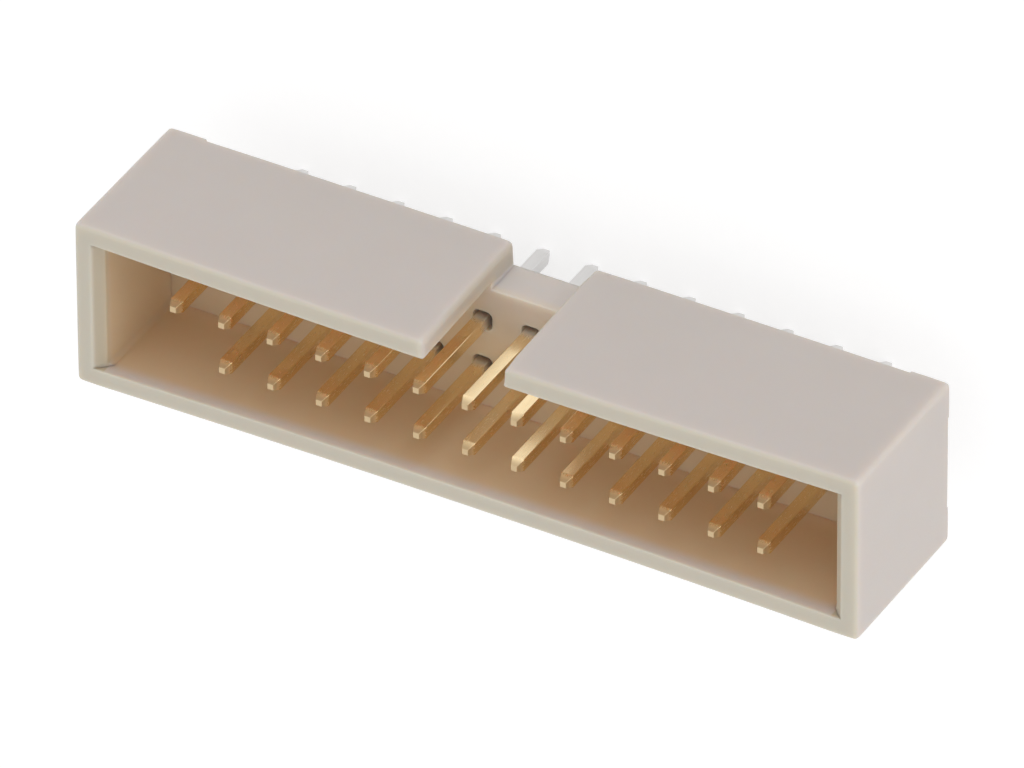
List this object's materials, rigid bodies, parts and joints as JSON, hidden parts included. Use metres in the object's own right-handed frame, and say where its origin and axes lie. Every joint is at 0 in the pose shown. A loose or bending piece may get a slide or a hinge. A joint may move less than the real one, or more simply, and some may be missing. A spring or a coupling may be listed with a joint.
{
  "type": "box header",
  "caption": "Straight shrouded box header for a flat-cable socket: rows of square contacts in a keyed moulded housing, with solder tails for a circuit board.",
  "frame": {"origin": "middle of the contact pattern in the plane where the housing's pads seat on the board", "axes": "+X along the contact rows, -Y towards the wall with the key slot, +Z away from the board, the way the socket is pulled off"},
  "size_m": [0.0406, 0.0088, 0.0123],
  "materials": {
    "housing": "satin moulded thermoplastic, off-white",
    "contact": "gold plated on the mating end, tin plated on the tail"
  },
  "bodies": {
    "root": {"housing": "housing", "contact_01": "contact", "contact_02": "contact", "contact_03": "contact", "contact_04": "contact", "contact_05": "contact", "contact_06": "contact", "contact_07": "contact", "contact_08": "contact", "contact_09": "contact", "contact_10": "contact", "contact_11": "contact", "contact_12": "contact", "contact_13": "contact", "contact_14": "contact", "contact_15": "contact", "contact_16": "contact", "contact_17": "contact", "contact_18": "contact", "contact_19": "contact", "contact_20": "contact", "contact_21": "contact", "contact_22": "contact", "contact_23": "contact", "contact_24": "contact", "contact_25": "contact"}
  },
  "joints": []
}
